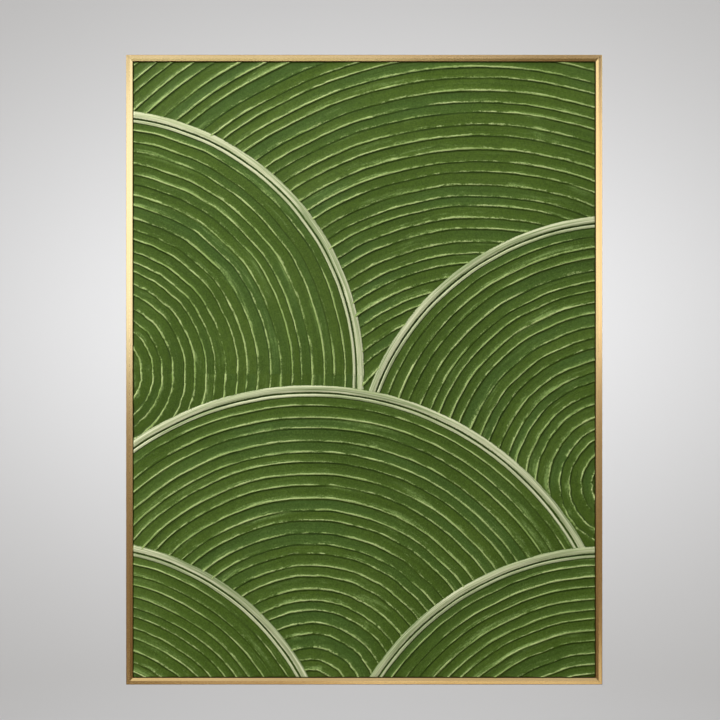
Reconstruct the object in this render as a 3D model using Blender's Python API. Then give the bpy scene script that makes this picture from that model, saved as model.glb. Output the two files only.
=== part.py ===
"""A framed relief picture: a painted canvas on wooden stretcher bars in a narrow gold metal tray frame.

The picture faces -Y and hangs upright, +Z up, with +X to the right of someone who looks at it. The world's origin is
the top of the hanger's middle notch, where the nail bears. Lengths are in metres.

Every piece is modelled about the picture's middle, in the plane of the frame's front edge: x runs across the picture,
y is the depth behind that plane and z the height. An empty carries them all to their place above the origin.
"""

import math

import bmesh
import bpy

MM = 0.001

# Driving dimensions of the picture and its frame. The canvas is a 600 by 800 mm stretcher with its cloth round it
CANVAS_WIDTH = 602 * MM
CANVAS_HEIGHT = 802 * MM
FACE_WIDTH = 8.3 * MM
SHADOW_GAP = 0.7 * MM
FRAME_DEPTH = 36 * MM
FIT = 0.3 * MM

# Layers of the picture, from its paint ground back to the frame's ledge
GROUND_DEPTH = 4.5 * MM
CLOTH = 0.9 * MM
BAR_THICKNESS = 18 * MM
HEM = 0.8 * MM
HEM_WIDTH = 24 * MM
LEDGE = 1.8 * MM
LEDGE_WIDTH = 16 * MM
BAR_DEPTH = GROUND_DEPTH + CLOTH + FIT
BAR_BACK = BAR_DEPTH + BAR_THICKNESS
HEM_DEPTH = BAR_BACK + FIT
LEDGE_DEPTH = HEM_DEPTH + HEM + FIT
LEDGE_BACK = LEDGE_DEPTH + LEDGE

# The hollow metal rail
WALL = 1.6 * MM
CREASE = 4.9 * MM
FACET_DROP = 1.8 * MM
INNER_CHAMFER = 0.45 * MM
FACE_THICKNESS = 1.7 * MM
EDGE_ROUND = 0.8 * MM
RETURN_LIP = 6.5 * MM
MITRE_GAP = 0.15 * MM

# Stretcher bars and the brace between them
BAR_WIDTH = 42 * MM
BAR_SLOPE = 2 * MM
BAR_BEAD = 5 * MM
BAR_ROUND = 1.5 * MM
BRACE_THICKNESS = 12 * MM
HOUSING = 10 * MM

# Corner plates, hanger and screws
PLATE = 2 * MM
PLATE_LEG = 46 * MM
PLATE_WIDTH = 14 * MM
PLATE_NICK = 3 * MM
PLATE_SCREW_INSET = 11 * MM
PLATE_SCREW_ALONG = 34 * MM
HANGER_HEIGHT = 10 * MM
HANGER_THICKNESS = 1.2 * MM
HANGER_HALF = 32 * MM
HANGER_BRIDGE = 16 * MM
HANGER_RAMP = 4 * MM
HANGER_STANDOFF = 5.3 * MM
HANGER_SCREW = 26 * MM
TOOTH_PITCH = 4 * MM
TOOTH_DEPTH = 1.6 * MM
NOTCHES_EACH_SIDE = 3
SCREW_INSET = 17 * MM
SIDE_SCREW_HEIGHTS = {"lower": -250 * MM, "upper": 250 * MM}
BASE_SCREW_PLACES = {"left": -180 * MM, "right": 180 * MM}
SHANK_RADIUS = 1.5 * MM
HEAD_RADIUS = 3 * MM
HEAD_HEIGHT = 1.9 * MM
RECESS_RADIUS = 1.3 * MM
RECESS_DEPTH = 1 * MM
WOOD_SHANK = 14 * MM
PLATE_SHANK = 4.2 * MM
SCREW_SIDES = 12

# The combed paint: overlapping fans of ridges, each edged with a double bead, from the rearmost fan to the foremost
FANS = (
    {"centre": (150 * MM, -150 * MM), "radius": 780 * MM, "inner": 180 * MM, "pitch": 15 * MM},
    {"centre": (-345 * MM, -5 * MM), "radius": 345 * MM, "inner": 38 * MM, "pitch": 14 * MM},
    {"centre": (335 * MM, -150 * MM), "radius": 352 * MM, "inner": 28 * MM, "pitch": 14.5 * MM},
    {"centre": (-70 * MM, -430 * MM), "radius": 410 * MM, "inner": 25 * MM, "pitch": 15 * MM},
    {"centre": (-372 * MM, -560 * MM), "radius": 340 * MM, "inner": 160 * MM, "pitch": 13.5 * MM},
    {"centre": (318 * MM, -600 * MM), "radius": 370 * MM, "inner": 180 * MM, "pitch": 14 * MM},
)
RIDGE = 1.3 * MM
RIDGE_DROP = 1.4 * MM
PITCH_SPREAD = 0.4
GOLDEN_RATIO = 0.618034
BASE_COAT = 0.4 * MM
LAYER = 0.15 * MM
TILT = 0.5 * MM
OUTER_BEAD = 9.5 * MM
OUTER_BEAD_HEIGHT = 1.5 * MM
GROOVE = 1.6 * MM
INNER_BEAD = 4 * MM
INNER_BEAD_HEIGHT = 1.1 * MM
PAINT_ROOT = 0.4 * MM
PAINT_INSET = 0.5 * MM
CHORD_ERROR = 0.55 * MM

# Places that follow from the sizes above
FRAME_HALF_WIDTH = CANVAS_WIDTH / 2 + SHADOW_GAP + FACE_WIDTH
FRAME_HALF_HEIGHT = CANVAS_HEIGHT / 2 + SHADOW_GAP + FACE_WIDTH
BAR_HALF_WIDTH = CANVAS_WIDTH / 2 - CLOTH - FIT
BAR_HALF_HEIGHT = CANVAS_HEIGHT / 2 - CLOTH - FIT
BRIDGE_DEPTH = LEDGE_BACK + HANGER_STANDOFF
BRIDGE_MIDDLE = BRIDGE_DEPTH + HANGER_THICKNESS / 2
HANGER_HEIGHT_PLACE = FRAME_HALF_HEIGHT - FACE_WIDTH - LEDGE_WIDTH / 2
NOTCH_TOP = HANGER_HEIGHT_PLACE - HANGER_HEIGHT / 2 + TOOTH_DEPTH
SIDES = {"top": (0, 1), "bottom": (0, -1), "left": (-1, 0), "right": (1, 0)}
CORNERS = {"top_left": (-1, 1), "top_right": (1, 1), "bottom_left": (-1, -1), "bottom_right": (1, -1)}

# Linear colour, roughness and metallic value of each material
FINISHES = {
    "gold_metal": ((0.76, 0.52, 0.22), 0.3, 1),
    "green_paint": ((0.075, 0.135, 0.03), 0.55, 0),
    "pine": ((0.62, 0.42, 0.23), 0.7, 0),
    "zinc_steel": ((0.55, 0.56, 0.58), 0.35, 1),
}


def clear_scene():
    for obj in list(bpy.data.objects):
        bpy.data.objects.remove(obj)


def material(name):
    """The Principled material of that name, made on first use."""
    found = bpy.data.materials.get(name)
    if found:
        return found
    colour, roughness, metallic = FINISHES[name]
    made = bpy.data.materials.new(name)
    made.use_nodes = True
    shader = made.node_tree.nodes["Principled BSDF"]
    shader.inputs["Base Color"].default_value = (*colour, 1)
    shader.inputs["Roughness"].default_value = roughness
    shader.inputs["Metallic"].default_value = metallic
    return made


def picture_middle():
    """The empty in the middle of the picture's front that carries every piece, made on first use."""
    found = bpy.data.objects.get("picture_middle")
    if found:
        return found
    empty = bpy.data.objects.new("picture_middle", None)
    empty.location = (0, -BRIDGE_MIDDLE, -NOTCH_TOP)
    bpy.context.scene.collection.objects.link(empty)
    return empty


def finished_mesh(name, bm, finish=None):
    """A mesh with its faces turned outwards, smooth over its rounds and sharp at its corners."""
    bmesh.ops.recalc_face_normals(bm, faces=bm.faces)
    mesh = bpy.data.meshes.new(name)
    bm.to_mesh(mesh)
    bm.free()
    mesh.shade_smooth()
    mesh.set_sharp_from_angle(angle=math.radians(35))
    if finish:
        mesh.materials.append(material(finish))
    return mesh


def piece(name, mesh, location=(0, 0, 0), collection=None):
    """An object on the picture's empty."""
    obj = bpy.data.objects.new(name, mesh)
    obj.parent = picture_middle()
    obj.location = location
    (collection or bpy.context.scene.collection).objects.link(obj)
    return obj


def cutter(name, mesh, location=(0, 0, 0), collection=None):
    """A helper that shapes a piece and isn't one itself."""
    obj = piece(name, mesh, location, collection)
    obj.hide_render = True
    obj.display_type = "WIRE"
    return obj


def helper_collection(name):
    made = bpy.data.collections.new(name)
    bpy.context.scene.collection.children.link(made)
    return made


def boolean(obj, operation, other, solver="EXACT"):
    """Adds a Boolean with one object, or with every object of a collection."""
    modifier = obj.modifiers.new(operation.lower(), "BOOLEAN")
    modifier.operation = operation
    modifier.solver = solver
    if isinstance(other, bpy.types.Collection):
        modifier.operand_type = "COLLECTION"
        modifier.collection = other
    else:
        modifier.object = other


def apply_modifiers(obj):
    """Puts the evaluated mesh in the place of the object's own."""
    evaluated = obj.evaluated_get(bpy.context.evaluated_depsgraph_get())
    mesh = bpy.data.meshes.new_from_object(evaluated)
    obj.modifiers.clear()
    obj.data = mesh


def loft(loops, closed=False):
    """A solid through loops of points that have the same count, capped at its ends or closed into a ring."""
    bm = bmesh.new()
    rows = [[bm.verts.new(point) for point in loop] for loop in loops]
    following = rows[1:] + rows[:1] if closed else rows[1:]
    for row, next_row in zip(rows, following):
        for i in range(len(row)):
            j = (i + 1) % len(row)
            bm.faces.new((row[i], row[j], next_row[j], next_row[i]))
    if not closed:
        bm.faces.new(rows[0])
        bm.faces.new(rows[-1])
    return bm


def box(low, high):
    """A box between two corners."""
    xs, ys, zs = zip(low, high)
    ring = ((0, 0), (1, 0), (1, 1), (0, 1))
    return loft([[(xs[i], ys[j], z) for i, j in ring] for z in zs])


def turned(profile, sides):
    """A solid turned about a line that runs through the picture, from (radius, y) points that start and end on it."""
    bm = bmesh.new()
    front, back = (bm.verts.new((0, y, 0)) for y in (profile[0][1], profile[-1][1]))
    rows = []
    for i in range(sides):
        angle = 2 * math.pi * i / sides
        rows.append([bm.verts.new((r * math.cos(angle), y, r * math.sin(angle))) for r, y in profile[1:-1]])
    for row, next_row in zip(rows, rows[1:] + rows[:1]):
        for i in range(len(row) - 1):
            bm.faces.new((row[i], row[i + 1], next_row[i + 1], next_row[i]))
        bm.faces.new((front, row[0], next_row[0]))
        bm.faces.new((back, row[-1], next_row[-1]))
    return bm


def mitred_bar(side, half_width, half_height, profile, gap):
    """One side of a rectangular frame, mitred at both ends, from (inset from the outer edge, y) points."""
    sx, sz = SIDES[side]
    loops = []
    for end in (-1, 1):
        if sz:
            loops.append([(end * (half_width - inset - gap), y, sz * (half_height - inset)) for inset, y in profile])
        else:
            loops.append([(sx * (half_width - inset), y, end * (half_height - inset - gap)) for inset, y in profile])
    return loft(loops)


def front_round(radius, front):
    """Points round the outer front edge of a rail or bar, as (inset, y), from its side to its face."""
    angles = [math.radians(180 + 30 * i) for i in range(4)]
    return [(radius + radius * math.cos(a), front + radius + radius * math.sin(a)) for a in angles]


# Screws, and the holes that clear them


def wood_screw_places():
    """Where the ledge is screwed to the stretcher behind the cloth's hem, as (x, z)."""
    across, down = FRAME_HALF_WIDTH - SCREW_INSET, FRAME_HALF_HEIGHT - SCREW_INSET
    places = {}
    for side in ("left", "right"):
        for level, z in SIDE_SCREW_HEIGHTS.items():
            places[f"ledge_screw_{side}_{level}"] = (SIDES[side][0] * across, z)
    for side, x in BASE_SCREW_PLACES.items():
        places[f"ledge_screw_bottom_{side}"] = (x, -down)
    return places


def hanger_screw_places():
    return {f"hanger_screw_{side}": (SIDES[side][0] * HANGER_SCREW, HANGER_HEIGHT_PLACE) for side in ("left", "right")}


def plate_screw_places():
    """One screw in each leg of each corner plate."""
    places = {}
    for corner, (sx, sz) in CORNERS.items():
        across, along = FRAME_HALF_WIDTH - PLATE_SCREW_ALONG, FRAME_HALF_HEIGHT - PLATE_SCREW_ALONG
        places[f"plate_screw_{corner}_a"] = (sx * across, sz * (FRAME_HALF_HEIGHT - PLATE_SCREW_INSET))
        places[f"plate_screw_{corner}_b"] = (sx * (FRAME_HALF_WIDTH - PLATE_SCREW_INSET), sz * along)
    return places


def screw_mesh(name, shank):
    """A pan-head screw. The underside of its head is at y = 0, and its shank runs forward into the picture."""
    profile = (
        (0, -shank),
        (SHANK_RADIUS, SHANK_RADIUS - shank),
        (SHANK_RADIUS, 0),
        (HEAD_RADIUS, 0),
        (HEAD_RADIUS, 0.45 * HEAD_HEIGHT),
        (0.75 * HEAD_RADIUS, 0.88 * HEAD_HEIGHT),
        (RECESS_RADIUS, HEAD_HEIGHT),
        (0, HEAD_HEIGHT - RECESS_DEPTH),
    )
    return finished_mesh(name, turned(profile, SCREW_SIDES), "zinc_steel")


def hole_mesh(name, depth):
    """The clearance of a screw, from its head's seat down to that depth."""
    radius = SHANK_RADIUS + FIT
    profile = ((0, -depth), (radius, -depth), (radius, HEAD_HEIGHT), (0, HEAD_HEIGHT))
    return finished_mesh(name, turned(profile, SCREW_SIDES))


def make_screws():
    """Every screw, and a collection of the holes that clear them."""
    holes = helper_collection("holes")
    wood, short = screw_mesh("wood_screw", WOOD_SHANK), screw_mesh("plate_screw", PLATE_SHANK)
    deep, shallow = hole_mesh("wood_hole", WOOD_SHANK + FIT), hole_mesh("plate_hole", PLATE_SHANK + FIT / 2)
    ledge_seat = LEDGE_BACK + FIT
    groups = (
        (wood_screw_places(), ledge_seat, wood, deep),
        (hanger_screw_places(), ledge_seat + HANGER_THICKNESS + FIT, wood, deep),
        (plate_screw_places(), ledge_seat + PLATE + FIT, short, shallow),
    )
    for places, seat, mesh, hole in groups:
        for name, (x, z) in places.items():
            piece(name, mesh, (x, seat, z))
            cutter(f"hole_{name}", hole, (x, seat, z), holes)
    return holes


# The metal frame


def rail_profile():
    """The outline of the extruded rail: a tube with a creased face, a ledge behind the picture and a rear lip."""
    return (
        (0, FRAME_DEPTH),
        *front_round(EDGE_ROUND, 0),
        (CREASE, 0),
        (FACE_WIDTH - INNER_CHAMFER, FACET_DROP),
        (FACE_WIDTH, FACET_DROP + INNER_CHAMFER),
        (FACE_WIDTH, LEDGE_DEPTH),
        (FACE_WIDTH + LEDGE_WIDTH, LEDGE_DEPTH),
        (FACE_WIDTH + LEDGE_WIDTH, LEDGE_BACK),
        (WALL, LEDGE_BACK),
        (WALL, FRAME_DEPTH - WALL),
        (RETURN_LIP, FRAME_DEPTH - WALL),
        (RETURN_LIP, FRAME_DEPTH),
    )


def chamber_profile():
    """The hollow of the rail's tube."""
    near, far, inner = FACET_DROP + FACE_THICKNESS, LEDGE_DEPTH, FACE_WIDTH - WALL
    return ((WALL, near), (inner, near), (inner, far), (WALL, far))


def make_rails(holes):
    size = (FRAME_HALF_WIDTH, FRAME_HALF_HEIGHT)
    for side in SIDES:
        bar = mitred_bar(side, *size, rail_profile(), MITRE_GAP)
        hollow = mitred_bar(side, *size, chamber_profile(), -WALL)
        rail = piece(f"frame_rail_{side}", finished_mesh(f"rail_{side}", bar, "gold_metal"))
        boolean(rail, "DIFFERENCE", cutter(f"chamber_{side}", finished_mesh(f"chamber_{side}", hollow)))
        boolean(rail, "DIFFERENCE", holes)


def make_corner_plates(holes):
    """An L-shaped plate behind each mitre, screwed to the ledges of both rails."""
    start = WALL + FIT
    width = start + PLATE_WIDTH
    outline = (
        (start, start),
        (PLATE_LEG - PLATE_NICK, start),
        (PLATE_LEG, start + PLATE_NICK),
        (PLATE_LEG, width),
        (width + PLATE_NICK, width),
        (width, width + PLATE_NICK),
        (width, PLATE_LEG),
        (start + PLATE_NICK, PLATE_LEG),
        (start, PLATE_LEG - PLATE_NICK),
    )
    near = LEDGE_BACK + FIT
    for corner, (sx, sz) in CORNERS.items():
        loops = [
            [(sx * (FRAME_HALF_WIDTH - u), y, sz * (FRAME_HALF_HEIGHT - w)) for u, w in outline]
            for y in (near, near + PLATE)
        ]
        name = f"corner_plate_{corner}"
        boolean(piece(name, finished_mesh(name, loft(loops), "zinc_steel")), "DIFFERENCE", holes)


def make_hanger(holes):
    """A bowed strip with a notched lower edge. A nail's head goes between the strip and the rail, its shank into a
    notch."""
    foot = LEDGE_BACK + FIT
    low, high = -HANGER_HEIGHT / 2, HANGER_HEIGHT / 2
    ramp = HANGER_BRIDGE + HANGER_RAMP
    stations = [(-HANGER_HALF, foot, low), (-ramp, foot, low), (-HANGER_BRIDGE, BRIDGE_DEPTH, low)]
    last = 2 * NOTCHES_EACH_SIDE + 1
    for i in range(-last, last + 1):
        stations.append((i * TOOTH_PITCH / 2, BRIDGE_DEPTH, low if i % 2 else low + TOOTH_DEPTH))
    stations += [(HANGER_BRIDGE, BRIDGE_DEPTH, low), (ramp, foot, low), (HANGER_HALF, foot, low)]
    loops = []
    for x, near, edge in stations:
        far = near + HANGER_THICKNESS
        loops.append([(x, near, edge), (x, far, edge), (x, far, high), (x, near, high)])
    mesh = finished_mesh("hanger", loft(loops), "zinc_steel")
    boolean(piece("hanger", mesh, (0, 0, HANGER_HEIGHT_PLACE)), "DIFFERENCE", holes)


# The wooden stretcher


def bar_profile():
    """A bar that is thickest at its outer edge, so that the cloth touches it only there."""
    return (
        (0, BAR_BACK),
        *front_round(BAR_ROUND, BAR_DEPTH),
        (BAR_BEAD, BAR_DEPTH),
        (BAR_WIDTH, BAR_DEPTH + BAR_SLOPE),
        (BAR_WIDTH, BAR_BACK),
    )


def make_stretcher(holes):
    """Four mitred bars and a brace, whose ends are housed in the backs of the side bars."""
    half = BAR_WIDTH / 2
    brace_front = BAR_BACK - BRACE_THICKNESS
    reach = BAR_HALF_WIDTH - BAR_WIDTH + HOUSING
    brace = box((FIT - reach, brace_front, -half), (reach - FIT, BAR_BACK, half))
    piece("stretcher_brace", finished_mesh("brace", brace, "pine"))
    housing = box((-reach, brace_front - FIT, -half - FIT), (reach, BAR_BACK + FIT, half + FIT))
    housing = cutter("brace_housing", finished_mesh("housing", housing))
    for side in SIDES:
        bar = mitred_bar(side, BAR_HALF_WIDTH, BAR_HALF_HEIGHT, bar_profile(), MITRE_GAP)
        name = f"stretcher_bar_{side}"
        bar = piece(name, finished_mesh(name, bar, "pine"))
        if side in ("left", "right"):
            boolean(bar, "DIFFERENCE", housing)
        boolean(bar, "DIFFERENCE", holes)


# The canvas and its paint


def bead_profile(outer, width, height, steps):
    """Points over a round bead from its outer edge inwards, as (radius, height)."""
    turns = [math.pi * i / steps for i in range(steps + 1)]
    return [(outer - width / 2 * (1 - math.cos(t)), height * math.sin(t)) for t in turns]


def fan_profile(fan):
    """Heights over a fan's own plane from the rim inwards: two beads, then one sawtooth ridge after another."""
    inner_bead = fan["radius"] - OUTER_BEAD - GROOVE
    points = bead_profile(fan["radius"], OUTER_BEAD, OUTER_BEAD_HEIGHT, 4)
    points += bead_profile(inner_bead, INNER_BEAD, INNER_BEAD_HEIGHT, 2)
    foot = inner_bead - INNER_BEAD
    ridge = 0
    while foot > fan["inner"]:
        pitch = fan["pitch"] * (1 + PITCH_SPREAD * (ridge * GOLDEN_RATIO % 1 - 0.5))
        points.append((foot - pitch + RIDGE_DROP, RIDGE))
        points.append((foot - pitch, 0))
        foot -= pitch
        ridge += 1
    return points


def fan_sides(fan):
    """The sides that keep the rim's chords close to its circle."""
    return round(math.pi / math.acos(1 - CHORD_ERROR / fan["radius"]))


def fan_mesh(order, fan):
    """One fan's ring-shaped layer of paint. It leans forward towards its top, as an overlapping scale does."""
    profile = fan_profile(fan)
    sides = fan_sides(fan)
    rings = []
    for i in range(sides):
        angle = 2 * math.pi * i / sides
        across, up = math.cos(angle), math.sin(angle)
        ring = [(r * across, GROUND_DEPTH + PAINT_ROOT, r * up) for r in (profile[-1][0], profile[0][0])]
        for r, height in profile:
            rise = BASE_COAT + LAYER * order + TILT * r * up / fan["radius"] + height
            ring.append((r * across, GROUND_DEPTH - rise, r * up))
        rings.append(ring)
    return finished_mesh(f"fan_{order}", loft(rings, closed=True))


def mask_mesh(order, fan):
    """The space that a fan takes from those behind it, out to the crest of its outer bead."""
    radius = fan["radius"] - OUTER_BEAD / 2
    profile = ((0, -GROUND_DEPTH), (radius, -GROUND_DEPTH), (radius, FRAME_DEPTH), (0, FRAME_DEPTH))
    return finished_mesh(f"mask_{order}", turned(profile, fan_sides(fan)))


def make_cloth(holes):
    """The cloth alone: the sheet over the front, its four sides and the hem turned in behind the bars."""
    x, z, hem_back = CANVAS_WIDTH / 2, CANVAS_HEIGHT / 2, HEM_DEPTH + HEM
    window_x, window_z = x - HEM_WIDTH, z - HEM_WIDTH
    cuts = {
        "cloth_hollow": box((CLOTH - x, GROUND_DEPTH + CLOTH, CLOTH - z), (x - CLOTH, HEM_DEPTH, z - CLOTH)),
        "hem_window": box((-window_x, BAR_BACK - HEM, -window_z), (window_x, hem_back + HEM, window_z)),
    }
    cloth = box((-x, GROUND_DEPTH, -z), (x, hem_back, z))
    canvas = piece("canvas", finished_mesh("canvas", cloth, "green_paint"))
    for name, cut in cuts.items():
        boolean(canvas, "DIFFERENCE", cutter(name, finished_mesh(name, cut)), "MANIFOLD")
    boolean(canvas, "DIFFERENCE", holes, "MANIFOLD")
    return canvas


def make_paint():
    """The fans in one collection, each cut to the canvas and to what the fans in front of it leave."""
    paint, masks = helper_collection("paint"), helper_collection("masks")
    x, z = CANVAS_WIDTH / 2 - PAINT_INSET, CANVAS_HEIGHT / 2 - PAINT_INSET
    field = box((-x, -GROUND_DEPTH, -z), (x, FRAME_DEPTH, z))
    field = cutter("paint_field", finished_mesh("paint_field", field), (0, 0, 0), masks)
    fans, covers = [], []
    for order, fan in enumerate(FANS):
        place = (fan["centre"][0], 0, fan["centre"][1])
        fans.append(cutter(f"fan_{order}", fan_mesh(order, fan), place, paint))
        covers.append(cutter(f"mask_{order}", mask_mesh(order, fan), place, masks))
    for order, fan in enumerate(fans):
        for cover in covers[order + 1 :]:
            boolean(fan, "DIFFERENCE", cover, "MANIFOLD")
        boolean(fan, "INTERSECT", field, "MANIFOLD")
    return paint, masks


def make_canvas(holes):
    """The painted canvas, in one solid. Its many fine ridges need the MANIFOLD solver, because EXACT is slow there."""
    canvas = make_cloth(holes)
    paint, masks = make_paint()
    boolean(canvas, "UNION", paint, "MANIFOLD")
    apply_modifiers(canvas)
    for collection in (paint, masks):
        for obj in list(collection.objects):
            bpy.data.objects.remove(obj)
        bpy.data.collections.remove(collection)


def main():
    clear_scene()
    holes = make_screws()
    make_rails(holes)
    make_corner_plates(holes)
    make_hanger(holes)
    make_stretcher(holes)
    make_canvas(holes)


main()
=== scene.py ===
"""The looks of a framed relief picture: combed paint on stretched canvas, in a gold tray frame.

The picture faces -Y and hangs upright. Lengths are in metres, in the same frame as the solids.
"""

import math

import bmesh
import bpy
import numpy as np
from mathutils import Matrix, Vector


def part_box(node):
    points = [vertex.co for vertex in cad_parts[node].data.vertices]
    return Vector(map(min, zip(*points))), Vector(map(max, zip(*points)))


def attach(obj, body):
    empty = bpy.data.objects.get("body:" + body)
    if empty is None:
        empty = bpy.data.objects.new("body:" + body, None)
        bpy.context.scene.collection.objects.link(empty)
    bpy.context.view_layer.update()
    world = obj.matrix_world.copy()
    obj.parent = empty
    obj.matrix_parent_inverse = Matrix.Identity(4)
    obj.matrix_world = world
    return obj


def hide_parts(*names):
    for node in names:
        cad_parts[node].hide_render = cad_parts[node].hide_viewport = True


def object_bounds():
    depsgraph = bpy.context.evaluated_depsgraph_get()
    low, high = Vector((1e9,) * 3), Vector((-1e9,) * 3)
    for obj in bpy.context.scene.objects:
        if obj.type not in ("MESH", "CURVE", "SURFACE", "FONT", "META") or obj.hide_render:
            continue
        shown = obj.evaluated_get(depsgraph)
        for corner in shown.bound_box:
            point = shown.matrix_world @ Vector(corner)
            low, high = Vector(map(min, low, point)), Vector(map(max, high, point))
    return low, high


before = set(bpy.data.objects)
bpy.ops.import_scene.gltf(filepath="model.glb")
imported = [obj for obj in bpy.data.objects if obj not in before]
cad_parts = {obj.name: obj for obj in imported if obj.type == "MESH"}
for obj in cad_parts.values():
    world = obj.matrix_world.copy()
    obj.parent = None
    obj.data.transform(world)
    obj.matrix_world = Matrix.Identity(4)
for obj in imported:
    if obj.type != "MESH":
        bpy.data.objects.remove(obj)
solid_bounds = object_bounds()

MM = 0.001
BODY = "root"

# Where the picture's layers lie, from the solids
FRAME_LOW, FRAME_HIGH = solid_bounds
CANVAS_LOW, CANVAS_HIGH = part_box("canvas")
MIDDLE_Z = (FRAME_LOW.z + FRAME_HIGH.z) / 2
HALF_WIDTH = (CANVAS_HIGH.x - CANVAS_LOW.x) / 2
HALF_HEIGHT = (CANVAS_HIGH.z - CANVAS_LOW.z) / 2
HEM_BACK = CANVAS_HIGH.y
GROUND_DEPTH = 4.5 * MM
GROUND = FRAME_LOW.y + GROUND_DEPTH

# The cloth: its rings run from the face, round the edge and down the side, to the hem behind
CLOTH = 0.6 * MM
HEM_WIDTH = 24 * MM
CLOTH_ROUND = 2 * MM
ROUND_STEPS = 4
FACE_RINGS = (30 * MM, 12 * MM)
SIDE_RINGS = (0.25, 0.5, 0.75)
HEM_RINGS = (0.3, 0.6, 0.9, 1)
CLOTH_STEPS = 48
FRAY = 0.5 * MM
CREASE_ANGLE = math.radians(40)
PAINTED_SIDE = 15 * MM
RAGGED_EDGE = 9 * MM

# The staples in the hem
STAPLE_WIDTH = 10 * MM
STAPLE_WIRE = 0.6 * MM
STAPLE_HALF_LEG = 1.2 * MM
STAPLE_INSET = 19.5 * MM
STAPLE_END = 45 * MM
STAPLE_SKEW = math.radians(16)
STAPLE_SHIFT = 1.2 * MM
STAPLE_BEVEL = 0.12 * MM
STAPLES_UPRIGHT = 14
STAPLES_LEVEL = 11

# The combed paint: the same fans as in the solid, from the rearmost to the foremost.
# Their centres are measured from the picture's middle.
FANS = (
    {"centre": (150 * MM, -150 * MM), "radius": 780 * MM, "inner": 180 * MM, "pitch": 15 * MM},
    {"centre": (-345 * MM, -5 * MM), "radius": 345 * MM, "inner": 38 * MM, "pitch": 14 * MM},
    {"centre": (335 * MM, -150 * MM), "radius": 352 * MM, "inner": 28 * MM, "pitch": 14.5 * MM},
    {"centre": (-70 * MM, -430 * MM), "radius": 410 * MM, "inner": 25 * MM, "pitch": 15 * MM},
    {"centre": (-372 * MM, -560 * MM), "radius": 340 * MM, "inner": 160 * MM, "pitch": 13.5 * MM},
    {"centre": (318 * MM, -600 * MM), "radius": 370 * MM, "inner": 180 * MM, "pitch": 14 * MM},
)
BASE_COAT = 0.4 * MM
LAYER = 0.15 * MM
TILT = 0.5 * MM
PAINT_INSET = 0.4 * MM
BURIED = 0.35 * MM
ARC_STEP = 2.5 * MM

# The ridges: a gentle slope that curls up to a crest, then drops to the next furrow
RIDGE = 1.3 * MM
RIDGE_SLOPE = 0.45
RIDGE_CURL = 0.55
RIDGE_DROP = 1.4 * MM
RIDGE_STEPS = (0.12, 0.3, 0.48, 0.64, 0.76, 0.84, 0.9, 0.95)
PITCH_SPREAD = 0.4
GOLDEN_RATIO = 0.618034

# The two beads round a fan's rim, with a groove between them
OUTER_BEAD = 9.5 * MM
OUTER_BEAD_HEIGHT = 1.5 * MM
OUTER_BEAD_STEPS = 12
INNER_BEAD = 4 * MM
INNER_BEAD_HEIGHT = 1.1 * MM
INNER_BEAD_STEPS = 6
BEAD_FULLNESS = 0.8
BRISTLE_DEPTH = 0.22
GROOVE = 1.6 * MM
GROOVE_DEPTH = 0.1 * MM
ON_RIM = -1

# How unevenly the comb was drawn
STROKE_RADIUS = 0.6
WOBBLE = 1.1 * MM
SWAY = 1.6
SHAKE = 0.5
RIM_WOBBLE = 0.35
CRUMBLE = 0.5 * MM
BEAD_CRUMBLE = 0.6
GRIT = 0.12 * MM
FAINTEST = 0.3
STRENGTH_SPREAD = 1.05
STRENGTH_SHAKE = 0.4

# The round floor and wall
SWEEP_DROP = 2.1
SWEEP_RADIUS = 4.2
SWEEP_TOP = 4.5
SWEEP_BEND = 1.2
SWEEP_BEND_STEPS = 24
SWEEP_STEPS = 96

# Camera, from the picture's size and place in the photograph
LENS = 70
SENSOR = 36
CAMERA_BACK = 1.822
CAMERA_ASIDE = -5.5 * MM
CAMERA_ABOVE = 12.6 * MM
CARD_PLACE = -1.6


def srgb(red, green, blue):
    """Linear RGBA of a colour given as 0 to 255."""
    values = [c / 255 for c in (red, green, blue)]
    linear = [c / 12.92 if c <= 0.04045 else ((c + 0.055) / 1.055) ** 2.4 for c in values]
    return (*linear, 1)


# Nodes


def put(tree, socket, value):
    if isinstance(value, bpy.types.NodeSocket):
        tree.links.new(value, socket)
    else:
        socket.default_value = value


def add(tree, kind, inputs=(), **settings):
    """A node with its settings, and its inputs as (name or number, value or socket) pairs."""
    made = tree.nodes.new(kind)
    for name, value in settings.items():
        setattr(made, name, value)
    for name, value in inputs:
        put(tree, made.inputs[name], value)
    return made


def place_of(tree):
    return add(tree, "ShaderNodeTexCoord").outputs["Object"]


def attribute(tree, name, output="Fac"):
    return add(tree, "ShaderNodeAttribute", attribute_name=name).outputs[output]


def stretch(tree, vector, factors):
    return add(tree, "ShaderNodeMapping", (("Vector", vector), ("Scale", factors))).outputs[0]


def noise(tree, vector, scale, detail=2.0, roughness=0.5, distortion=0.0):
    inputs = (
        ("Vector", vector),
        ("Scale", scale),
        ("Detail", detail),
        ("Roughness", roughness),
        ("Distortion", distortion),
    )
    return add(tree, "ShaderNodeTexNoise", inputs).outputs[0]


def strokes(tree, vector, along, across, detail, roughness=0.5):
    """Noise that is drawn out in strokes, with its scales along and across them."""
    return noise(tree, stretch(tree, vector, (along, across, 1)), 1, detail, roughness)


def remap(tree, value, low, high, to_low=0.0, to_high=1.0):
    inputs = ((0, value), (1, low), (2, high), (3, to_low), (4, to_high))
    made = add(tree, "ShaderNodeMapRange", inputs, interpolation_type="SMOOTHSTEP")
    return made.outputs[0]


def calc(tree, operation, a, b=0.0):
    return add(tree, "ShaderNodeMath", ((0, a), (1, b)), operation=operation).outputs[0]


def swing(tree, value, size):
    """How far a value is from 0.5, times a size."""
    return calc(tree, "MULTIPLY", calc(tree, "SUBTRACT", value, 0.5), size)


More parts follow.
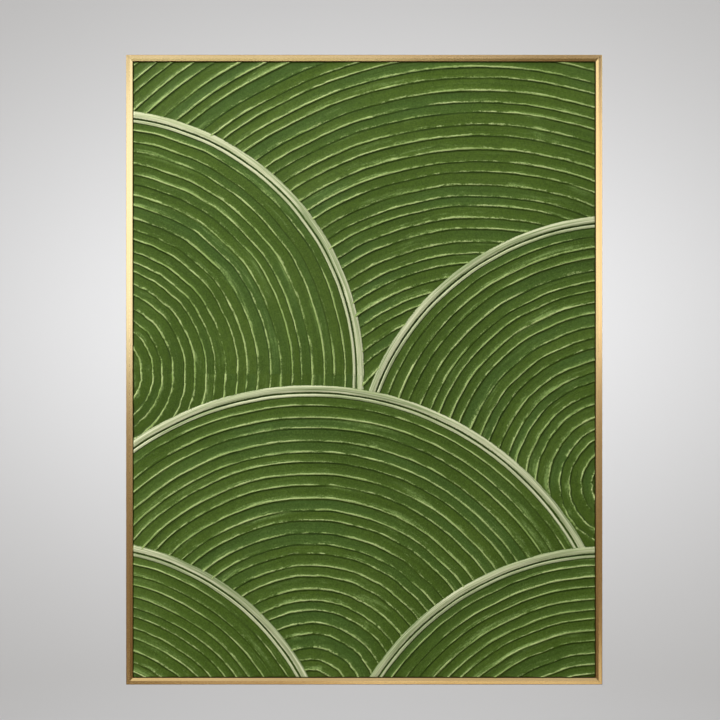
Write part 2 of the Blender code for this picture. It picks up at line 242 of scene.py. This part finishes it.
def mix(tree, factor, a, b):
    made = add(tree, "ShaderNodeMix", ((0, factor), (6, a), (7, b)), data_type="RGBA")
    return made.outputs[2]


def tint(tree, colour, value, low, high, amount, over):
    """A colour with another over it, none where the value is low and that amount where it's high."""
    return mix(tree, remap(tree, value, low, high, 0, amount), colour, over)


def ramp(tree, value, stops):
    made = add(tree, "ShaderNodeValToRGB", (("Fac", value),))
    elements = made.color_ramp.elements
    while len(elements) < len(stops):
        elements.new(0.5)
    for element, (position, colour) in zip(elements, stops):
        element.position = position
        element.color = colour
    return made.outputs["Color"]


def bump(tree, height, distance, normal=None):
    inputs = [("Height", height), ("Distance", distance)]
    if normal:
        inputs.append(("Normal", normal))
    return add(tree, "ShaderNodeBump", inputs).outputs[0]


def new_material(name, **constants):
    """A Principled material, with the values that are the same all over it."""
    made = bpy.data.materials.new(name)
    made.use_nodes = True
    shader = made.node_tree.nodes["Principled BSDF"]
    for key, value in constants.items():
        shader.inputs[key.replace("_", " ")].default_value = value
    return made, made.node_tree, shader


# Materials


def gold_material(side):
    """Satin gold on metal that was brushed along its length."""
    made, tree, shader = new_material(f"gold_{side}", Metallic=1)
    place = place_of(tree)
    along = (9, 2600, 2600) if side in ("top", "bottom") else (2600, 2600, 9)
    lines = noise(tree, stretch(tree, place, along), 1, 3, 0.6)
    patches = noise(tree, place, 9, 3)
    colour = ramp(tree, patches, ((0.3, srgb(228, 194, 134)), (0.7, srgb(236, 204, 148))))
    colour = tint(tree, colour, lines, 0.3, 0.7, 0.22, srgb(206, 166, 106))
    put(tree, shader.inputs["Base Color"], colour)
    put(tree, shader.inputs["Roughness"], remap(tree, lines, 0.25, 0.75, 0.17, 0.26))
    put(tree, shader.inputs["Normal"], bump(tree, lines, 0.012 * MM))
    return made


def pine_material(side):
    """Planed pine with its grain along the bar."""
    made, tree, shader = new_material(f"pine_{side}")
    place = place_of(tree)
    level = side in ("top", "bottom", "brace")
    grain_axes = (0.06, 1, 1) if level else (1, 1, 0.06)
    fibre_axes = (14, 900, 900) if level else (900, 900, 14)
    warped = noise(tree, stretch(tree, place, grain_axes), 26, 3, 0.55, 1.4)
    rings = calc(tree, "FRACT", calc(tree, "MULTIPLY", warped, 11))
    fibres = noise(tree, stretch(tree, place, fibre_axes), 1, 3, 0.6)
    patches = noise(tree, place, 5)
    wood = tint(tree, srgb(222, 190, 142), rings, 0.55, 1, 0.55, srgb(186, 140, 88))
    wood = tint(tree, wood, fibres, 0.35, 0.75, 0.45, srgb(196, 156, 104))
    wood = tint(tree, wood, patches, 0.35, 0.7, 0.35, srgb(206, 166, 112))
    put(tree, shader.inputs["Base Color"], wood)
    put(tree, shader.inputs["Roughness"], remap(tree, fibres, 0.2, 0.8, 0.6, 0.82))
    put(tree, shader.inputs["Normal"], bump(tree, fibres, 0.12 * MM))
    return made


def zinc_material():
    """Bright zinc plate with fine spangles."""
    made, tree, shader = new_material("zinc_plate", Metallic=1)
    place = place_of(tree)
    cells = add(tree, "ShaderNodeTexVoronoi", (("Vector", place), ("Scale", 420)))
    spangles = calc(tree, "MULTIPLY", cells.outputs["Color"], 0.35)
    clouds = calc(tree, "MULTIPLY", noise(tree, place, 160, 3), 0.65)
    value = calc(tree, "ADD", spangles, clouds)
    colour = ramp(tree, value, ((0.25, srgb(196, 198, 200)), (0.7, srgb(226, 226, 222))))
    put(tree, shader.inputs["Base Color"], colour)
    put(tree, shader.inputs["Roughness"], remap(tree, value, 0.25, 0.7, 0.3, 0.42))
    put(tree, shader.inputs["Normal"], bump(tree, noise(tree, place, 2400), 0.02 * MM))
    return made


def weave_of(tree, place):
    """Over and under of the threads of a plain weave, from 0 to 1."""
    thread = {"Vector": place, "Scale": 390, "Distortion": 1.2, "Detail": 1, "Detail Scale": 0.3}
    threads = []
    for direction in ("X", "Z"):
        wave = add(tree, "ShaderNodeTexWave", thread.items(), bands_direction=direction)
        threads.append(wave.outputs["Fac"])
    return calc(tree, "MAXIMUM", *threads)


def raw_cloth_material():
    """The cotton canvas as it shows from behind, unprimed and a little slubby."""
    made, tree, shader = new_material("raw_canvas", Roughness=0.92)
    place = place_of(tree)
    weave = weave_of(tree, place)
    patches = noise(tree, place, 5, 4)
    colour = tint(tree, srgb(190, 178, 152), weave, 0.1, 0.9, 1, srgb(222, 213, 190))
    for axes in ((30, 200, 700), (700, 200, 30)):
        slubs = noise(tree, stretch(tree, place, axes), 1, 3)
        colour = tint(tree, colour, slubs, 0.55, 0.78, 0.35, srgb(172, 156, 124))
    colour = tint(tree, colour, patches, 0.42, 0.7, 0.3, srgb(198, 184, 152))
    put(tree, shader.inputs["Base Color"], colour)
    put(tree, shader.inputs["Normal"], bump(tree, weave, 0.12 * MM))
    return made


def primed_cloth_material():
    """The outer side of the cloth: white primer, and the paint's ragged edge round its sides."""
    made, tree, shader = new_material("primed_canvas", Roughness=0.75)
    place = place_of(tree)
    weave = weave_of(tree, place)
    patches = noise(tree, place, 22, 3)
    primer = tint(tree, srgb(212, 210, 202), weave, 0.1, 0.9, 1, srgb(236, 235, 229))
    primer = tint(tree, primer, patches, 0.45, 0.75, 0.35, srgb(214, 208, 192))
    ragged = calc(tree, "MULTIPLY", noise(tree, place, 90, 4), RAGGED_EDGE)
    depth = calc(tree, "ADD", attribute(tree, "depth"), ragged)
    painted = remap(tree, depth, PAINTED_SIDE + 0.5 * MM, PAINTED_SIDE)
    put(tree, shader.inputs["Base Color"], mix(tree, painted, primer, srgb(56, 72, 30)))
    put(tree, shader.inputs["Normal"], bump(tree, weave, 0.1 * MM))
    return made


def paint_material():
    """Acrylic paste combed in arcs: greens in the furrows with painted shade at their feet, a
    painted highlight on the slopes up to the crests, dry pale ridge tops and cream beads.
    """
    made, tree, shader = new_material("relief_paint", Specular_IOR_Level=0.14)
    place = place_of(tree)
    comb = attribute(tree, "comb", "Vector")
    names = ("crest", "rise", "bead", "shade", "tone")
    crest, rise, bead, shade, tone = (attribute(tree, name) for name in names)

    clouds = noise(tree, place, 5, 4, 0.55)
    stipple = noise(tree, place, 620, 4, 0.7)
    mottle = noise(tree, place, 330, 3, 0.75)
    streaks = strokes(tree, comb, 16, 850, 4, 0.65)
    strands = strokes(tree, comb, 11, 420, 3, 0.6)
    broad_streaks = strokes(tree, comb, 7, 160, 3)
    smears = strokes(tree, comb, 10, 100, 4, 0.6)
    dabs = strokes(tree, comb, 60, 420, 4, 0.7)

    greens = ((0.32, srgb(60, 84, 12)), (0.5, srgb(70, 95, 20)), (0.68, srgb(80, 104, 32)))
    ground = ramp(tree, clouds, greens)
    cool = calc(tree, "ADD", tone, swing(tree, clouds, 1))
    ground = tint(tree, ground, cool, 0.45, 0.9, 0.45, srgb(58, 92, 42))
    ground = tint(tree, ground, broad_streaks, 0.35, 0.7, 0.4, srgb(54, 76, 10))
    ground = tint(tree, ground, streaks, 0.5, 0.75, 0.35, srgb(92, 118, 42))
    # Painted highlight: the slope up to each crest is painted a lighter green, as if lit from above.
    ground = mix(tree, calc(tree, "MULTIPLY", rise, 0.35), ground, srgb(94, 124, 48))
    ground = tint(tree, ground, smears, 0.54, 0.78, 0.55, srgb(112, 142, 70))
    ground = tint(tree, ground, mottle, 0.4, 0.62, 0.4, srgb(44, 64, 8))
    ground = tint(tree, ground, stipple, 0.5, 0.68, 0.4, srgb(100, 126, 56))
    # Painted shade: the feet of the furrows, both edges of each bead and the groove between the
    # beads are darkened to a near-black green, more in some stretches than others.
    uneven = remap(tree, calc(tree, "ADD", smears, dabs), 0.8, 1.25, 0.75, 0.1)
    ground = mix(tree, calc(tree, "MULTIPLY", shade, uneven), ground, srgb(24, 38, 8))

    broken = calc(tree, "ADD", swing(tree, dabs, 1.7), swing(tree, stipple, 1.5))
    drag = calc(tree, "ADD", swing(tree, smears, 3.2), broken)
    # Dry-paint scuffs, together with a painted highlight on the slope up to each crest, lighten the
    # ground.
    scuff_and_lit_slope = calc(tree, "ADD", calc(tree, "MULTIPLY", rise, 0.6), drag)
    ground = tint(tree, ground, scuff_and_lit_slope, 0.5, 1.15, 0.6, srgb(140, 168, 96))
    dry = remap(tree, calc(tree, "ADD", crest, broken), 0.4, 0.95)
    pale = tint(tree, srgb(132, 162, 82), streaks, 0.35, 0.65, 1, srgb(194, 212, 146))
    colour = mix(tree, dry, ground, pale)

    cream = tint(tree, srgb(168, 182, 132), streaks, 0.3, 0.7, 1, srgb(230, 234, 200))
    cream = tint(tree, cream, strands, 0.48, 0.68, 0.75, srgb(116, 140, 84))
    cream = tint(tree, cream, broad_streaks, 0.55, 0.7, 0.5, srgb(90, 112, 58))
    on_bead = calc(tree, "ADD", bead, calc(tree, "MULTIPLY", broken, 0.6))
    colour = tint(tree, colour, on_bead, 0.3, 0.6, 1, cream)

    smooth_paint = remap(tree, streaks, 0.3, 0.7, 0.36, 0.5)
    rough = calc(tree, "ADD", smooth_paint, calc(tree, "MULTIPLY", dry, 0.15))
    grain = bump(tree, stipple, 0.3 * MM)
    put(tree, shader.inputs["Base Color"], colour)
    put(tree, shader.inputs["Roughness"], rough)
    put(tree, shader.inputs["Normal"], bump(tree, streaks, 0.35 * MM, grain))
    return made


def sweep_material():
    """Pale grey with the faintest clouds."""
    made, tree, shader = new_material("sweep", Roughness=0.95)
    clouds = noise(tree, place_of(tree), 0.8)
    colour = tint(tree, srgb(223, 225, 229), clouds, 0.3, 0.7, 0.04, srgb(204, 206, 210))
    put(tree, shader.inputs["Base Color"], colour)
    return made


# Pieces


def new_piece(name, mesh, finish, slot, *nodes):
    """An object that rides with the picture and stands for those nodes."""
    mesh.materials.append(finish)
    obj = bpy.data.objects.new(name, mesh)
    bpy.context.scene.collection.objects.link(obj)
    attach(obj, BODY)
    if nodes:
        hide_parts(*nodes)
    return obj


def new_mesh(name, bm):
    """A mesh of what was built, with its faces turned outwards."""
    bmesh.ops.recalc_face_normals(bm, faces=bm.faces)
    mesh = bpy.data.meshes.new(name)
    bm.to_mesh(mesh)
    bm.free()
    return mesh


def smooth(t, low=0.0, high=1.0):
    t = np.clip((t - low) / (high - low), 0, 1)
    return t * t * (3 - 2 * t)


def lattice(ix, iy, seed):
    """A repeatable value from 0 to 1 for each whole-numbered place."""
    n = ix.astype(np.uint32) * np.uint32(374761393) + iy.astype(np.uint32) * np.uint32(668265263)
    n = n + np.uint32(seed * 974711 + 1013)
    n = (n ^ (n >> np.uint32(13))) * np.uint32(1274126177)
    n = n ^ (n >> np.uint32(16))
    return (n & np.uint32(0xFFFFFF)) / 0xFFFFFF


def ripple(x, y, seed):
    """Smooth noise from 0 to 1 over arrays of places."""
    ix = np.floor(x).astype(np.int64)
    iy = np.floor(y).astype(np.int64)
    u = smooth(x - ix)
    v = smooth(y - iy)
    corners = [lattice(ix + i, iy + j, seed) for j in (0, 1) for i in (0, 1)]
    low = corners[0] * (1 - u) + corners[1] * u
    high = corners[2] * (1 - u) + corners[3] * u
    return low * (1 - v) + high * v


def fan_profile(fan):
    """Rows of (radius, height, crest, rise, bead, shade, ridge number), from the rim inwards."""
    rows = []
    rim = fan["radius"]
    outer = (OUTER_BEAD, OUTER_BEAD_HEIGHT, OUTER_BEAD_STEPS)
    inner = (INNER_BEAD, INNER_BEAD_HEIGHT, INNER_BEAD_STEPS)
    for width, height, steps in (outer, inner):
        for i in range(steps + 1):
            turn = math.pi * i / steps
            lift = math.sin(turn)
            # Both edges of a bead get shade 1, which darkens the paint there as painted shade.
            shade = 1 if i in (0, steps) else 0
            bristles = 1 - BRISTLE_DEPTH * (i * GOLDEN_RATIO % 1)
            place = rim - width / 2 * (1 - math.cos(turn))
            lifted = height * lift**BEAD_FULLNESS * bristles
            rows.append((place, lifted, 0, 0, lift, shade, ON_RIM))
        rim -= width
        if width == OUTER_BEAD:
            # The groove between the beads gets shade 1: painted shade.
            rows.append((rim - GROOVE / 2, -GROOVE_DEPTH, 0, 0, 0, 1, ON_RIM))
            rim -= GROOVE
    ridge = 0
    while rim > fan["inner"]:
        pitch = fan["pitch"] * (1 + PITCH_SPREAD * (ridge * GOLDEN_RATIO % 1 - 0.5))
        top = pitch - RIDGE_DROP
        for t in RIDGE_STEPS:
            height = RIDGE * (RIDGE_SLOPE * t + RIDGE_CURL * float(smooth(t, 0.68, 1)))
            crest = float(smooth(t, 0.76, 0.98))
            # Rise grows up the slope to the crest and lightens the paint there as a painted
            # highlight.
            rise = float(smooth(t, 0.35, 1))
            rows.append((rim - top * t, height, crest, rise, 0, 0, ridge))
        rows.append((rim - top, RIDGE, 1, 1, 0, 0, ridge))
        rows.append((rim - top - 0.45 * RIDGE_DROP, 0.72 * RIDGE, 0.75, 0.8, 0, 0, ridge))
        # The foot of each furrow gets shade 1: painted shade under the crest's drop.
        rows.append((rim - pitch + 0.12 * RIDGE_DROP, 0.08 * RIDGE, 0, 0, 0, 1, ridge))
        rim -= pitch
        ridge += 1
    return np.array(rows)


def covered(x, z, order):
    """Where the fans in front of one lie over it."""
    hidden = np.zeros(x.shape, dtype=bool)
    for fan in FANS[order + 1 :]:
        reach = fan["radius"] - OUTER_BEAD / 2
        hidden |= np.hypot(x - fan["centre"][0], z - fan["centre"][1]) < reach
    return hidden


def fan_surface(order, fan):
    """Arrays of the x, y and z of a fan's paint about the picture's middle, where it's hidden, and
    what its colours need."""
    radius, height, crest, rising, bead, shade, ridge = fan_profile(fan).T
    count = round(2 * math.pi * fan["radius"] / ARC_STEP)
    around = np.linspace(0, 2 * math.pi, count, endpoint=False)
    angle, r = np.meshgrid(around, radius, indexing="ij")
    along = angle * fan["radius"] * STROKE_RADIUS
    turn = np.stack([np.cos(angle), np.sin(angle)])
    number = np.broadcast_to(ridge, r.shape)
    on_ridge = number != ON_RIM

    sway = ripple(turn[0] * 9 + 40, turn[1] * 9 + r * 11 + 40, order) - 0.5
    shake = ripple(along * 90, number * 3.7 + 50, order + 10) - 0.5
    crumble = ripple(along * 260, number * 6.1 + r * 900, order + 70) - 0.5
    bent = r + WOBBLE * (SWAY * sway + SHAKE * shake) * np.where(on_ridge, 1, RIM_WOBBLE)
    bent = bent + CRUMBLE * crumble * np.maximum(crest, BEAD_CRUMBLE * bead)
    x = fan["centre"][0] + bent * turn[0]
    z = fan["centre"][1] + bent * turn[1]

    strength = FAINTEST + STRENGTH_SPREAD * ripple(along * 17, number * 5.1 + 60, order + 20)
    strength += STRENGTH_SHAKE * (ripple(along * 120, number * 2.3 + 60, order + 30) - 0.5)
    strength += STRENGTH_SHAKE * crumble * crest
    rim_strength = 0.88 + 0.2 * ripple(along * 70, r * 400, order + 40)
    strength = np.where(on_ridge, strength, rim_strength)
    grit = GRIT * (ripple(x * 260 + 900, z * 260 + 900, order + 50) - 0.5)
    coat = BASE_COAT + LAYER * order + TILT * (z - fan["centre"][1]) / fan["radius"]
    hidden = covered(x, z, order)
    rise = np.where(hidden, -BURIED, coat + height * strength + grit)

    shown = np.clip(strength, 0, 1)
    tone = ripple(along * 5, number * 7.9 + 70, order + 60)
    # Rise carries a painted highlight on the slopes up to the crests, and shade a painted shade at
    # the furrow feet, bead edges and groove.
    values = {"crest": crest * shown, "rise": rising * shown}
    values.update({"bead": bead, "shade": shade, "tone": tone})
    values = {name: np.broadcast_to(value, r.shape) for name, value in values.items()}
    comb = np.stack([along, r, np.full(r.shape, order * 3.3)], axis=-1)
    return x, GROUND - rise, z, hidden, values, comb


def kept_faces(x, z, hidden):
    """Quads of the ring-shaped grid that show: on the canvas, and not wholly under another fan."""
    count, rows = x.shape
    margin = 2 * ARC_STEP
    inside = (np.abs(x) < HALF_WIDTH + margin) & (np.abs(z) < HALF_HEIGHT + margin)
    number = np.arange(count * rows).reshape(count, rows)
    corners = []
    for i, j in ((0, 0), (0, 1), (1, 1), (1, 0)):
        corners.append(np.roll(number, -i, axis=0)[:, j : rows - 1 + j].ravel())
    quads = np.stack(corners, axis=-1)
    shown = inside.ravel()[quads].any(axis=1) & ~hidden.ravel()[quads].all(axis=1)
    return quads[shown]


def cut_to_canvas(mesh):
    """Trims a fan at the canvas's edges and closes its edges down to the cloth."""
    bm = bmesh.new()
    bm.from_mesh(mesh)
    limits = (HALF_WIDTH - PAINT_INSET, HALF_HEIGHT - PAINT_INSET)
    for axis, limit in zip((Vector((1, 0, 0)), Vector((0, 0, 1))), limits):
        for sign in (-1, 1):
            bmesh.ops.bisect_plane(
                bm,
                geom=[*bm.verts, *bm.edges, *bm.faces],
                plane_co=Vector((0, 0, MIDDLE_Z)) + axis * sign * limit,
                plane_no=axis * sign,
                clear_outer=True,
            )
    edges = [edge for edge in bm.edges if edge.is_boundary]
    for item in bmesh.ops.extrude_edge_only(bm, edges=edges)["geom"]:
        if isinstance(item, bmesh.types.BMVert):
            item.co.y = GROUND + BURIED
    bmesh.ops.recalc_face_normals(bm, faces=bm.faces)
    bm.to_mesh(mesh)
    bm.free()


def make_fan(order, fan, finish):
    x, y, z, hidden, values, comb = fan_surface(order, fan)
    used, quads = np.unique(kept_faces(x, z, hidden), return_inverse=True)
    points = np.stack([x.ravel(), y.ravel(), z.ravel() + MIDDLE_Z], axis=-1)[used]
    mesh = bpy.data.meshes.new(f"paint_fan_{order}")
    mesh.from_pydata(points.tolist(), [], quads.reshape(-1, 4).tolist())
    for name, value in values.items():
        layer = mesh.attributes.new(name, "FLOAT", "POINT")
        layer.data.foreach_set("value", value.ravel()[used].astype(np.float32))
    layer = mesh.attributes.new("comb", "FLOAT_VECTOR", "POINT")
    layer.data.foreach_set("vector", comb.reshape(-1, 3)[used].astype(np.float32).ravel())
    cut_to_canvas(mesh)
    mesh.shade_smooth()
    new_piece(f"paint_fan_{order}", mesh, finish, "green_paint", "canvas")


def cloth_rings(depth):
    """(inset, depth) of each ring of the cloth, from its face to the edge of its hem."""
    turns = [math.pi / 2 * i / ROUND_STEPS for i in range(ROUND_STEPS + 1)]
    back = depth - CLOTH_ROUND
    rings = [(inset, 0) for inset in FACE_RINGS]
    for t in turns:
        rings.append((CLOTH_ROUND * (1 - math.sin(t)), CLOTH_ROUND * (1 - math.cos(t))))
    for share in SIDE_RINGS:
        rings.append((0, depth * share))
    for t in turns:
        rings.append((CLOTH_ROUND * (1 - math.cos(t)), back + CLOTH_ROUND * math.sin(t)))
    for share in HEM_RINGS:
        rings.append((HEM_WIDTH * share, depth))
    return rings


def ring_points(inset, depth, frayed):
    """Points of one ring of the cloth, side by side round the canvas."""
    points = []
    width = HALF_WIDTH - inset
    height = HALF_HEIGHT - inset
    corners = ((-1, -1), (1, -1), (1, 1), (-1, 1))
    for corner, following in zip(corners, (*corners[1:], corners[0])):
        for i in range(CLOTH_STEPS):
            t = i / CLOTH_STEPS
            x = (corner[0] * (1 - t) + following[0] * t) * width
            z = (corner[1] * (1 - t) + following[1] * t) * height
            if frayed:
                fray = FRAY * (math.sin(i * 2.3) + 0.6 * math.sin(i * 5.1 + corner[0]))
                x -= fray * (corner[0] + following[0]) / 2
                z -= fray * (corner[1] + following[1]) / 2
            points.append((x, GROUND + depth, z + MIDDLE_Z))
    return points


def make_cloth(primed, raw):
    """The sheet over the bars, round their edges and turned in behind them as a hem."""
    depth = HEM_BACK - GROUND
    rings = cloth_rings(depth)
    bm = bmesh.new()
    layer = bm.verts.layers.float.new("depth")
    rows = []
    for inset, ring_depth in rings:
        frayed = (inset, ring_depth) == rings[-1]
        row = [bm.verts.new(point) for point in ring_points(inset, ring_depth, frayed)]
        for vert in row:
            vert[layer] = ring_depth
        rows.append(row)
    bm.faces.new(rows[0])
    for row, following in zip(rows, rows[1:]):
        for i in range(len(row)):
            j = (i + 1) % len(row)
            bm.faces.new((row[i], row[j], following[j], following[i]))
    mesh = new_mesh("canvas_cloth", bm)
    mesh.shade_smooth()
    mesh.set_sharp_from_angle(angle=CREASE_ANGLE)
    cloth = new_piece("canvas_cloth", mesh, primed, "green_paint", "canvas")
    mesh.materials.append(raw)
    thicken = cloth.modifiers.new("thickness", "SOLIDIFY")
    thicken.thickness = CLOTH
    thicken.offset = -1
    thicken.material_offset = 1
    thicken.material_offset_rim = 1


def add_staple(bm, along, across, skew, level):
    """One staple, a crown and two legs, at a place along and across its side of the hem."""
    wire = STAPLE_WIRE / 2
    leg_place = STAPLE_WIDTH / 2 - wire
    leg_lift = wire - STAPLE_HALF_LEG
    crown = (0, 0, STAPLE_WIDTH / 2, wire)
    legs = [(side * leg_place, leg_lift, wire, STAPLE_HALF_LEG) for side in (-1, 1)]
    for offset, lift, half_width, half_depth in (crown, *legs):
        for vert in bmesh.ops.create_cube(bm, size=2)["verts"]:
            u = vert.co.x * half_width + offset
            v = vert.co.y * half_depth + lift
            w = vert.co.z * wire
            far = along + u * math.cos(skew) - w * math.sin(skew)
            near = across + u * math.sin(skew) + w * math.cos(skew)
            x, z = (far, near) if level else (near, far)
            vert.co = (x, HEM_BACK + wire + v, z + MIDDLE_Z)


def make_staples(finish):
    """Wire staples through the hem, each a little askew."""
    bm = bmesh.new()
    upright = (HALF_HEIGHT, HALF_WIDTH, STAPLES_UPRIGHT, False)
    flat = (HALF_WIDTH, HALF_HEIGHT, STAPLES_LEVEL, True)
    sides = ((-1, upright), (1, upright), (-1, flat), (1, flat))
    for k, (sign, (reach, edge, count, level)) in enumerate(sides):
        span = reach - STAPLE_END
        for i in range(count):
            along = -span + 2 * span * i / (count - 1)
            shift = STAPLE_SHIFT * math.sin(i * 4.1 + 2 * k)
            across = sign * (edge - STAPLE_INSET + shift)
            skew = STAPLE_SKEW * math.sin(i * 2.7 + k)
            add_staple(bm, along, across, skew, level)
    bmesh.ops.bevel(bm, geom=list(bm.edges), offset=STAPLE_BEVEL, segments=1, affect="EDGES")
    new_piece("hem_staples", new_mesh("hem_staples", bm), finish, "zinc_steel")


def dress_solids(zinc):
    """Materials for the solids that keep their shapes."""
    for name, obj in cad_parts.items():
        if name.startswith("frame_rail_"):
            obj.material_slots[0].material = gold_material(name.removeprefix("frame_rail_"))
        elif name.startswith("stretcher_"):
            obj.material_slots[0].material = pine_material(name.rsplit("_", 1)[1])
        elif name != "canvas":
            obj.material_slots[0].material = zinc


# Stage, light and camera


def make_stage():
    """A pale round floor that sweeps up into a pale wall all round.

    Only the camera sees it: light and gloss come from the world beyond, so that the metal mirrors
    an even gradient.
    """
    floor = FRAME_LOW.z - SWEEP_DROP
    level_reach = SWEEP_RADIUS - SWEEP_BEND
    outline = [(0, floor), (level_reach, floor)]
    for i in range(1, SWEEP_BEND_STEPS + 1):
        angle = math.pi / 2 * i / SWEEP_BEND_STEPS
        reach = level_reach + SWEEP_BEND * math.sin(angle)
        outline.append((reach, floor + SWEEP_BEND * (1 - math.cos(angle))))
    outline.append((SWEEP_RADIUS, SWEEP_TOP))
    bm = bmesh.new()
    verts = [bm.verts.new((r, 0, z)) for r, z in outline]
    edges = [bm.edges.new(pair) for pair in zip(verts, verts[1:])]
    bmesh.ops.spin(
        bm,
        geom=verts + edges,
        axis=(0, 0, 1),
        steps=SWEEP_STEPS,
        angle=2 * math.pi,
        use_merge=True,
    )
    bmesh.ops.remove_doubles(bm, verts=bm.verts, dist=MM)
    mesh = new_mesh("sweep", bm)
    mesh.flip_normals()
    mesh.shade_smooth()
    mesh.materials.append(sweep_material())
    sweep = bpy.data.objects.new("sweep", mesh)
    sweep.visible_glossy = False
    sweep.visible_diffuse = False
    sweep.visible_shadow = False
    bpy.context.scene.collection.objects.link(sweep)


def area_light(name, location, target, size, power, colour=(1, 1, 1), spread=180):
    data = bpy.data.lights.new(name, "AREA")
    data.shape = "RECTANGLE"
    data.size, data.size_y = size
    data.energy = power
    data.color = colour
    data.spread = math.radians(spread)
    light = bpy.data.objects.new(name, data)
    light.location = location
    light.rotation_mode = "QUATERNION"
    light.rotation_quaternion = (Vector(target) - Vector(location)).to_track_quat("-Z", "Y")
    light.visible_camera = False
    bpy.context.scene.collection.objects.link(light)
    return light


def reflection_card(name, place, facing, size, radiance):
    """A bright card that only the gloss shows, placed from the picture's middle."""
    place = Vector((place[0], place[1], place[2] + MIDDLE_Z))
    peak = max(radiance)
    colour = [c / peak for c in radiance]
    power = peak * math.pi * size[0] * size[1]
    card = area_light(name, place, place + Vector(facing), size, power, colour)
    card.visible_diffuse = False


def upright_card(name, low, high, radiance):
    """A card in front of the picture, between two (x, z) corners."""
    middle = ((low[0] + high[0]) / 2, CARD_PLACE, (low[1] + high[1]) / 2)
    size = (high[0] - low[0], high[1] - low[1])
    reflection_card(name, middle, (0, 1, 0), size, radiance)


def make_lights():
    """A warm key light from the upper left, a soft fill, and the room that the metal mirrors."""
    middle = (0, 0, MIDDLE_Z)
    wall = (0, SWEEP_RADIUS, MIDDLE_Z + 0.2)
    area_light("key", (-1.5, -1.0, MIDDLE_Z + 1.9), middle, (0.7, 0.7), 62, (1, 0.96, 0.88))
    fill = area_light("fill", (-1.4, -2.6, MIDDLE_Z + 0.8), middle, (3, 3), 30)
    fill.visible_glossy = False
    area_light("backdrop", (0, 2.4, MIDDLE_Z + 0.2), wall, (2.2, 0.5), 19, spread=150)
    area_light("behind", (-1.2, 2.6, MIDDLE_Z + 2.0), middle, (0.9, 0.9), 4, spread=50)
    cool = (1.05, 1.3, 1.65)
    neutral = (1.15, 1.1, 1.15)
    upright_card("card_ahead_left", (-0.95, 0.02), (0, 0.69), cool)
    upright_card("card_ahead_right", (0, 0.02), (0.95, 0.66), neutral)
    upright_card("card_left", (-3.6, 0.02), (-0.95, 0.96), (0.92, 1.0, 1.05))
    upright_card("card_right", (0.95, 0.02), (3.6, 1.04), cool)
    upright_card("card_base", (-0.1, -1.0), (0.9, -0.72), (1.12, 1.12, 1.04))
    upright_card("card_base_left", (-0.5, -1.0), (-0.1, -0.75), (0.66, 0.6, 0.55))
    reflection_card("card_floor", (-0.65, -1.8, -1.3), (0, 0, 1), (1.6, 0.6), (1.8, 2.1, 2.1))


def make_world():
    """Pale above the horizon, dim and warm below it, and a dark patch ahead on the upper right."""
    below = (0.18, 0.15, 0.1, 1)
    low = (0.115, 0.076, 0.037, 1)
    level = (0.21, 0.145, 0.08, 1)
    pale = (0.6, 0.6, 0.6, 1)
    dark = (0.03, 0.02, 0.01, 1)
    dark_place = (0.24, -0.93, 0.28)
    world = bpy.data.worlds.new("studio")
    world.use_nodes = True
    tree = world.node_tree
    direction = add(tree, "ShaderNodeTexCoord").outputs["Generated"]
    height = add(tree, "ShaderNodeSeparateXYZ", (("Vector", direction),)).outputs["Z"]
    height = calc(tree, "ADD", calc(tree, "MULTIPLY", height, 0.5), 0.5)
    colour = ramp(tree, height, ((0.24, below), (0.36, low), (0.44, level), (0.53, pale)))
    inputs = ((0, direction), (1, dark_place))
    towards = add(tree, "ShaderNodeVectorMath", inputs, operation="DOT_PRODUCT")
    colour = tint(tree, colour, towards.outputs["Value"], 0.97, 0.99, 1, dark)
    put(tree, tree.nodes["Background"].inputs["Color"], colour)
    bpy.context.scene.world = world


def make_camera():
    data = bpy.data.cameras.new("camera")
    data.lens = LENS
    data.sensor_width = SENSOR
    camera = bpy.data.objects.new("camera", data)
    camera.location = (CAMERA_ASIDE, FRAME_LOW.y - CAMERA_BACK, MIDDLE_Z + CAMERA_ABOVE)
    camera.rotation_euler = (math.pi / 2, 0, 0)
    bpy.context.scene.collection.objects.link(camera)
    bpy.context.scene.camera = camera


def main():
    bpy.context.scene.view_settings.view_transform = "Standard"
    make_camera()
    zinc = zinc_material()
    dress_solids(zinc)
    paint = paint_material()
    for order, fan in enumerate(FANS):
        make_fan(order, fan, paint)
    make_cloth(primed_cloth_material(), raw_cloth_material())
    make_staples(zinc)
    make_stage()
    make_lights()
    make_world()


main()
